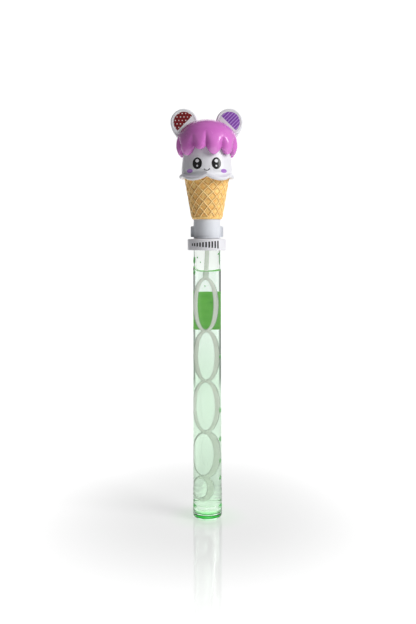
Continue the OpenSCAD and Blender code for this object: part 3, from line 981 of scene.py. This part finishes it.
def make_cone():
    bm = bmesh.new()
    heights = [CONE_SIDE_Z + CONE_SIDE_H * n / CONE_ROWS for n in range(CONE_ROWS + 1)]
    side = [(cone_radius(height), height) for height in heights]
    foot = curve([
        (CONE_FOOT_R, CONE_Z), (CONE_FOOT_R + 0.75, CONE_Z + 0.7), (CONE_LOW_R - 0.25, CONE_Z + 1.4), side[0]
    ], 3)
    inner = CONE_SPIGOT_R - CONE_SPIGOT_T
    lathe(bm, [(SOCKET_IN_R, CONE_Z)] + foot[:-1] + side + [
        (CONE_SPIGOT_R, CONE_RIM_Z), (CONE_SPIGOT_R, cone_high.z),
        (inner, cone_high.z), (inner, CONE_RIM_Z - 4), (CONE_FLOOR_R, CONE_FLOOR_Z),
        (SOCKET_R, CONE_FLOOR_Z), (SOCKET_R, SOCKET_Z), (SOCKET_IN_R, SOCKET_Z),
    ], turns=432)
    # The ridge mask also pales the ridges in the finish as a painted highlight; the second mask darkens the
    # band beside them as painted shade.
    ridges = bm.verts.layers.float.new("ridge")
    valley_shade_layer = bm.verts.layers.float.new("painted_valley_shade")
    for vert in bm.verts:
        radius = math.hypot(vert.co.x, vert.co.y) / MM
        height = vert.co.z / MM
        if abs(radius - cone_radius(height)) < 0.02 and height < CONE_RIM_Z - 0.05:
            off = ridge_distance(math.degrees(math.atan2(vert.co.x, -vert.co.y)), height, radius)
            fade = min(1, max(0, height - LATTICE_LOW))
            ridge = 0.5 + 0.5 * math.cos(math.pi * min(1, off / RIDGE_HALF_W))
            vert[ridges] = ridge * fade
            vert[valley_shade_layer] = max(0, 1 - abs(off - RIDGE_HALF_W) / SHADE_BESIDE_RIDGE_HALF_W) * fade
            scale = (radius + (RIDGE_PROUD - RIDGE_H * (1 - ridge)) * fade) / radius
            vert.co.x *= scale
            vert.co.y *= scale
    close_piece(
        bm, "waffle_shell", "stopper", waffle_finish, ["waffle_cone"], sharp=75
    )


# The head and its icing

NOTCH_Z = CONE_RIM_Z - 1.4
HEAD_R = 21.5
SKIRT_R = 24.8
CROWN_Z = head_high.z
SCALLOP_DIPS = (3.4, 0.6, 3.2, 3.2, 0.6, 3.4)
SCALLOP_ANGLE = 360 / len(SCALLOP_DIPS)
HEAD_DOME_H = 8
HEAD_DOME_Z = CROWN_Z - HEAD_DOME_H
HEAD_T = 1.6
HEAD_SOCKET_R = CONE_SPIGOT_R + 0.05
HEAD_FOOT_Z = CONE_RIM_Z + 0.1
HANG_TOP_H = 12
HANG_FULL_H = 3
HANG_POWER = 2.2
LIP_CREASE_H = 4.8
LIP_CREASE_HALF = 2.2
LIP_CREASE = 1.5
EYE_X = 8.4
EYE_Z = 316.2
EYE_W = 4.2
EYE_H = 5.2
GLINT_UP = 2.2
GLINT_R = 1.5
LOW_GLINT_R = 0.8
SMILE_Z = 312.4
SMILE_R = 2.6
CHEEK_X = 15
CHEEK_Z = 309.8
CHEEK_W = 2.6
CHEEK_H = 1.7


def scallop_dip(degrees):
    """How far the skirt hangs below its notches at an angle from the front."""
    i = int(degrees // SCALLOP_ANGLE) % len(SCALLOP_DIPS)
    off = 2 * abs(degrees / SCALLOP_ANGLE - i - 0.5)
    return SCALLOP_DIPS[i] * (1 - off ** 2)


def head_dome(radius, height, angles):
    """Points of the head's dome at angles over its edge."""
    return [
        (radius * math.cos(math.radians(t)), HEAD_DOME_Z + height * math.sin(math.radians(t))) for t in angles
    ]


def make_head():
    bm = bmesh.new()
    side = curve([
        (HEAD_R, NOTCH_Z + 21), (HEAD_R + 0.2, NOTCH_Z + 18.5), (HEAD_R + 0.8, NOTCH_Z + 13),
        (HEAD_R + 1.3, NOTCH_Z + 7.6), (SKIRT_R - 1.75, NOTCH_Z + 5), (SKIRT_R - 1.45, NOTCH_Z + 3.9),
        (SKIRT_R - 0.75, NOTCH_Z + 3.35), (SKIRT_R - 0.1, NOTCH_Z + 2.8), (SKIRT_R + 0.15, NOTCH_Z + 1.7),
        (SKIRT_R - 0.1, NOTCH_Z + 0.7), (SKIRT_R - 0.9, NOTCH_Z), (SKIRT_R - 2, NOTCH_Z - 0.05),
        (SKIRT_R - 2.8, NOTCH_Z + 0.5), (CONE_TOP_R + 0.6, HEAD_FOOT_Z),
    ], 6)
    inner = HEAD_R - HEAD_T
    outside = [(0, CROWN_Z)] + head_dome(HEAD_R, HEAD_DOME_H, range(80, -1, -10)) + side
    inside = [(HEAD_SOCKET_R, HEAD_FOOT_Z), (HEAD_SOCKET_R, HEAD_FOOT_Z + 8), (inner, HEAD_FOOT_Z + 10)]
    inside += head_dome(inner, HEAD_DOME_H - HEAD_T, (0, 25, 50, 75)) + [(0, CROWN_Z - HEAD_T)]
    lathe(bm, outside + inside, turns=240, closed=False)
    for vert in bm.verts:
        height = vert.co.z / MM - NOTCH_Z
        radius = math.hypot(vert.co.x, vert.co.y) / MM
        if height < HANG_TOP_H and radius > CONE_TOP_R + 0.7:
            dip = scallop_dip(front_angle(vert.co))
            share = min(1, (HANG_TOP_H - height) / (HANG_TOP_H - HANG_FULL_H)) ** HANG_POWER
            hollow = max(0, 1 - ((height - LIP_CREASE_H) / LIP_CREASE_HALF) ** 2)
            drawn_in = 1 - LIP_CREASE * hollow * dip / SCALLOP_DIPS[0] / radius
            vert.co = Vector((vert.co.x * drawn_in, vert.co.y * drawn_in, vert.co.z - dip * share * MM))
    close_piece(
        bm, "head_shell", "stopper", head_finish, ["ice_cream_head"], sharp=60
    )


ICING_R = 27.9
ICING_TOP = icing_high.z
DOME_H = 24
ICING_Z = ICING_TOP - DOME_H
ICING_T = 2
ICING_TURNS = 288
CREASE_ANGLES = (-1.7, 31.8, 65, 95, 124, 152, 180, 208, 236, 264, 294, 333.2)
DRIP_REACHES = (9.1, 8.6, 8.2, 9, 9.4, 9, 9.4, 9, 8.6, 8.2, 9.3, 4.8)
DRIP_H = 9.5
DRIP_NOTCH_H = 1.9
DRIP_POWER = 2.0
DRIP_DRAW_IN = 3.2
CREASE_DEPTH = 3.0
CREASE_POWER = 2.3
CREASE_NARROWING = 4
MIDDLE_CREASE_TOP_H = 12
CREASE_TOP_H = 8
DOME_POWER = 2.15


def drip_at(degrees):
    """Which drip an angle from the front lies in, and 0 at that drip's middle to 1 at a crease."""
    first = CREASE_ANGLES[0]
    turned = (degrees - first) % 360 + first
    ends = CREASE_ANGLES[1:] + (first + 360,)
    for i, (low, high) in enumerate(zip(CREASE_ANGLES, ends)):
        if turned <= high:
            return i, 2 * abs((turned - low) / (high - low) - 0.5)


def drip_side(degrees):
    return drip_at(degrees)[1]


def drip_end(degrees):
    i, side = drip_at(degrees)
    return DRIP_REACHES[i] + (DRIP_NOTCH_H - DRIP_REACHES[i]) * side ** DRIP_POWER


def crease(degrees, height):
    """How deep the wall lies between the drips: 1 in a crease's lower end. The front one runs highest."""
    top = MIDDLE_CREASE_TOP_H if abs((degrees + 180) % 360 - 180) < 15 else CREASE_TOP_H
    up = min(1, max(0, height / top))
    return drip_side(degrees) ** (CREASE_POWER + CREASE_NARROWING * up) * (1 - up) ** 1.2


def icing_radius(degrees, height):
    if height > 0:
        dome = ICING_R * max(0, 1 - (height / DOME_H) ** DOME_POWER) ** (1 / DOME_POWER)
    else:
        dome = ICING_R - DRIP_DRAW_IN * (height / DRIP_H) ** 2
    return dome - CREASE_DEPTH * crease(degrees, height)


def icing_profile(degrees):
    """The icing's wall at one angle, from the top outside to the top inside: radius, height, crease."""
    end = -drip_end(degrees)
    edge = icing_radius(degrees, end)
    heights = [DOME_H * math.sin(math.radians(t)) ** (2 / DOME_POWER) for t in range(88, -1, -4)]
    heights += [end * s for s in (0.2, 0.4, 0.6, 0.8, 0.92, 1)]
    wall = [(icing_radius(degrees, h), h, crease(degrees, h)) for h in heights]
    deep = crease(degrees, end)
    wall += [(edge - 0.15, end - 0.35, deep), (edge - 0.5, end - 0.6, deep), (edge - 1, end - 0.7, deep)]
    # The underside and the inside get the full painted crease shade.
    wall += [(HEAD_R + 0.9, end - 0.7, 1), (HEAD_R + 0.1, end, 1), (HEAD_R + 0.1, 1.5, 1)]
    for t in (13, 26, 39, 52, 65, 78):
        h = DOME_H * math.sin(math.radians(t)) ** (2 / DOME_POWER)
        wall.append((icing_radius(degrees, h) - ICING_T, h * (1 - ICING_T / DOME_H), 1))
    return [(0, DOME_H, 0)] + wall + [(0, DOME_H - ICING_T, 1)]


def make_icing():
    bm = bmesh.new()
    profiles = [icing_profile(360 * n / ICING_TURNS) for n in range(ICING_TURNS)]
    rows = len(profiles[0]) - 1
    # This layer holds the crease depth, which the icing's finish turns into painted shade.
    crease_shade_layer = bm.verts.layers.float.new("crease")
    made = bmesh.ops.create_grid(bm, x_segments=ICING_TURNS, y_segments=rows, size=1)
    for vert in made["verts"]:
        n = round((vert.co.x + 1) / 2 * ICING_TURNS) % ICING_TURNS
        radius, height, depth = profiles[n][round((vert.co.y + 1) / 2 * rows)]
        vert[crease_shade_layer] = depth
        angle = FULL_TURN * n / ICING_TURNS
        vert.co = Vector((radius * math.sin(angle), -radius * math.cos(angle), ICING_Z + height)) * MM
    close_piece(bm, "icing_shell", "stopper", icing_finish, ["icing"], sharp=75)


# The ears

EAR_X = (inlay_low.x + inlay_high.x) / 2
EAR_Z = (inlay_low.z + inlay_high.z) / 2
EAR_R = ear_high.z - EAR_Z
EAR_HALF_T = ear_high.y
INLAY_R = (inlay_high.x - inlay_low.x) / 2
BEAD_R = 1.4
DOT_STEP = 3.1
STRIPE_STEP = 3.4
HALF_EDGE = -2
PRINT_R = 9.2
EAR_SIDES = 128
EAR_BACK_R = 2.4
RIM_R = 0.35
INLAY_EDGE_R = 0.25
INLAY_GAP = 0.05
SEAT_Y = EAR_HALF_T - 0.8
ROOT_HALF_T = 3
ROOT_POINTS = ((0, 0), (11.6, -2.2), (11, -6), (9, -9.8), (5.2, -15), (-6, -13))


def make_root():
    """The ear's foot inside the icing, with a little of it showing under the disc."""
    bm = bmesh.new()
    verts = [bm.verts.new(Vector((x, ROOT_HALF_T, z)) * MM) for x, z in ROOT_POINTS]
    grown = bmesh.ops.extrude_face_region(bm, geom=[bm.faces.new(verts)])["geom"]
    moved = [item for item in grown if isinstance(item, bmesh.types.BMVert)]
    bmesh.ops.translate(bm, verts=moved, vec=(0, -2 * ROOT_HALF_T * MM, 0))
    round_edges(bm, [edge for edge in bm.edges if abs(edge.verts[0].co.y - edge.verts[1].co.y) < WELD], 4)
    return bm


def set_ear(bm, side):
    """Moves an ear's mesh to its place, on the left for -1 and on the right for 1."""
    bmesh.ops.translate(bm, verts=bm.verts, vec=Vector((side * EAR_X, 0, EAR_Z)) * MM)


def make_ear(side, name, node):
    disc = bmesh.new()
    back = arc((EAR_R - EAR_BACK_R, EAR_BACK_R - EAR_HALF_T), EAR_BACK_R, -90, 0, 8)
    front = arc((EAR_R - BEAD_R, EAR_HALF_T - BEAD_R), BEAD_R, 0, 90, 8)
    recess = arc((INLAY_R + RIM_R, EAR_HALF_T - RIM_R), RIM_R, 90, 180, 5) + [(INLAY_R + INLAY_GAP, SEAT_Y)]
    profile = [(0, -EAR_HALF_T)] + back + front + recess + [(0, SEAT_Y)]
    lathe(disc, profile, turns=EAR_SIDES, closed=False)
    turn(disc, disc.verts, 90, "X")
    bm = merged([disc, make_root()])
    if side < 0:
        bmesh.ops.scale(bm, verts=bm.verts, vec=(-1, 1, 1))
    set_ear(bm, side)
    close_piece(bm, name, "stopper", ear_finish, [node], sharp=40)


def make_inlay(side, name, node, finish):
    bm = bmesh.new()
    front = EAR_HALF_T - INLAY_GAP
    edge = arc((INLAY_R - INLAY_EDGE_R, front - INLAY_EDGE_R), INLAY_EDGE_R, 0, 90, 4)
    lathe(bm, [(0, SEAT_Y), (INLAY_R, SEAT_Y)] + edge + [(0, front)], turns=EAR_SIDES, closed=False)
    turn(bm, bm.verts, 90, "X")
    set_ear(bm, side)
    close_piece(bm, name, "stopper", finish, [node])


# Floor, backdrop and lights

def make_studio_paper():
    """White paper that glows behind the object, with painted green-grey shade round its foot, a painted strip
    of gathered light behind the tube, and a dim room at the sides.
    """
    finish = Finish("studio_paper", {"Base Color": grey(0.3), "IOR": 1.45, "Emission Strength": 1.0})
    across, depth, up = finish.axes()
    away = distance(across, depth)
    # Painted shade: a green-grey halo round the foot.
    painted_green_shade = finish.mix(away.ramp(12, 42), (0.44, 0.5, 0.44, 1), grey(0.5))
    shaded = distance(across, depth.most(0) * 0.65 + depth.least(0))
    close = finish.mix(shaded.ramp(40, 240), painted_green_shade, grey(0.84))
    # Painted light: a brighter strip behind the tube, as if gathered through it.
    painted_gathered_light = depth.ramp(10, 16) * (1 - depth.ramp(50, 190)) * (1 - across.one("ABSOLUTE").ramp(9, 14))
    lit = finish.mix(painted_gathered_light, close, (0.76, 0.8, 0.76, 1))
    near = finish.mix(away.ramp(230, 500), lit, grey(1))
    middle = finish.mix(up.ramp(100, 200), grey(1.12), grey(1))
    backdrop = finish.mix((across / away).one("ABSOLUTE").ramp(0.27, 0.4), middle, grey(1.3))
    behind = (depth / away).ramp(0.81, 0.87)
    right = (across / away).ramp(-0.5, 0.9)
    sides = finish.mix(right, grey(0.15), grey(0.3))
    far = finish.mix(behind, sides, backdrop)
    finish.glow(finish.mix(away.ramp(560, 760), near, far))
    finish.roughness(0.06 + away.ramp(200, 500) * 0.8)
    return finish


def make_paper(name, profile, finish, lights_object):
    """A ring or disc of studio paper, spun from its radii and heights."""
    bm = bmesh.new()
    lathe(bm, profile, turns=96, closed=False)
    bmesh.ops.remove_doubles(bm, verts=bm.verts, dist=WELD)
    paper = add_mesh(name, bm)
    paper.data.flip_normals()
    paper.data.shade_smooth()
    paper.data.materials.append(finish.material)
    paper.visible_diffuse = lights_object


FLOOR_Z = -0.1
NEAR_FLOOR_R = 900
WALL_R = 3200
COVE_R = 900
WALL_H = 3600


def make_studio():
    finish = make_studio_paper()
    make_paper("floor", [(0, FLOOR_Z), (120, FLOOR_Z), (NEAR_FLOOR_R, FLOOR_Z)], finish, True)
    cove = arc((WALL_R - COVE_R, FLOOR_Z + COVE_R), COVE_R, -90, 0, 16)
    make_paper("wall", [(NEAR_FLOOR_R, FLOOR_Z)] + cove + [(WALL_R, WALL_H)], finish, False)


def make_light(name, place, target, width, height, power, diffuse, glossy):
    light = add_object(name, bpy.data.lights.new(name, "AREA"))
    light.data.shape = "RECTANGLE"
    light.data.size = width
    light.data.size_y = height
    light.data.energy = power
    light.location = place
    light.visible_camera = False
    light.visible_diffuse = diffuse
    light.visible_glossy = glossy
    light.rotation_euler = (Vector(target) - Vector(place)).to_track_quat("-Z", "Y").to_euler()


def make_world():
    world = bpy.data.worlds.new("studio")
    bpy.context.scene.world = world
    world.use_nodes = True
    background = world.node_tree.nodes["Background"]
    background.inputs["Color"].default_value = (1, 1, 1, 1)
    background.inputs["Strength"].default_value = 0.08


head_finish = make_head_finish()
icing_finish = make_icing_finish()
waffle_finish = make_waffle_finish()
collar_finish = make_collar_finish()
stopper_finish = moulded("stopper_grey", shade(222, 225, 231), shade(208, 212, 220), 0.3)
ear_finish = moulded("ear_white", shade(238, 238, 241), shade(224, 225, 231), 0.34)
holder_finish = moulded("holder_white", shade(226, 228, 228), shade(210, 213, 214), 0.4)
soft_finish = moulded("soft_white", shade(228, 227, 222), shade(214, 213, 208), 0.6)
dotted_finish = make_dotted_finish()
striped_finish = make_striped_finish()
tube_finish = make_tube_finish()
solution_finish = make_solution_finish()
# The surface line and the drops get a painted green glow.
surface_finish = make_wet_finish("surface_green", shade(120, 196, 108), (0.08, 0.27, 0.05, 1))
drop_finish = make_wet_finish("drop_green", shade(84, 166, 84), (0.05, 0.16, 0.05, 1))
label_finish = make_label_finish()
wand_finish = make_wand_finish()

make_tube()
make_thread()
make_solution()
make_surface_line()
make_drops()
make_label()
make_wand()
make_collar()
make_stopper()
make_cone()
make_head()
make_icing()
make_ear(-1, "left_ear_disc", "left_ear")
make_ear(1, "right_ear_disc", "right_ear")
make_inlay(-1, "left_ear_print", "left_ear_inlay", dotted_finish)
make_inlay(1, "right_ear_print", "right_ear_inlay", striped_finish)

frame_finishes = {"wand_holder": holder_finish, "seal_ring": soft_finish, "collar_washer": soft_finish}
for node, finish in frame_finishes.items():
    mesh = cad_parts[node].data
    mesh.materials.clear()
    mesh.materials.append(finish.material)

make_studio()
make_world()
make_light("key", (0.98, -0.6, 0.95), (0, 0, 0.25), 0.7, 0.9, 18, True, False)
make_light("back", (-0.8, 1.4, 1.2), (0, 0, 0.25), 2.6, 1.8, 8, True, False)
make_light("window", (1.15, -0.5, 0.62), (0, 0, 0.33), 0.42, 0.42, 3.6, False, True)
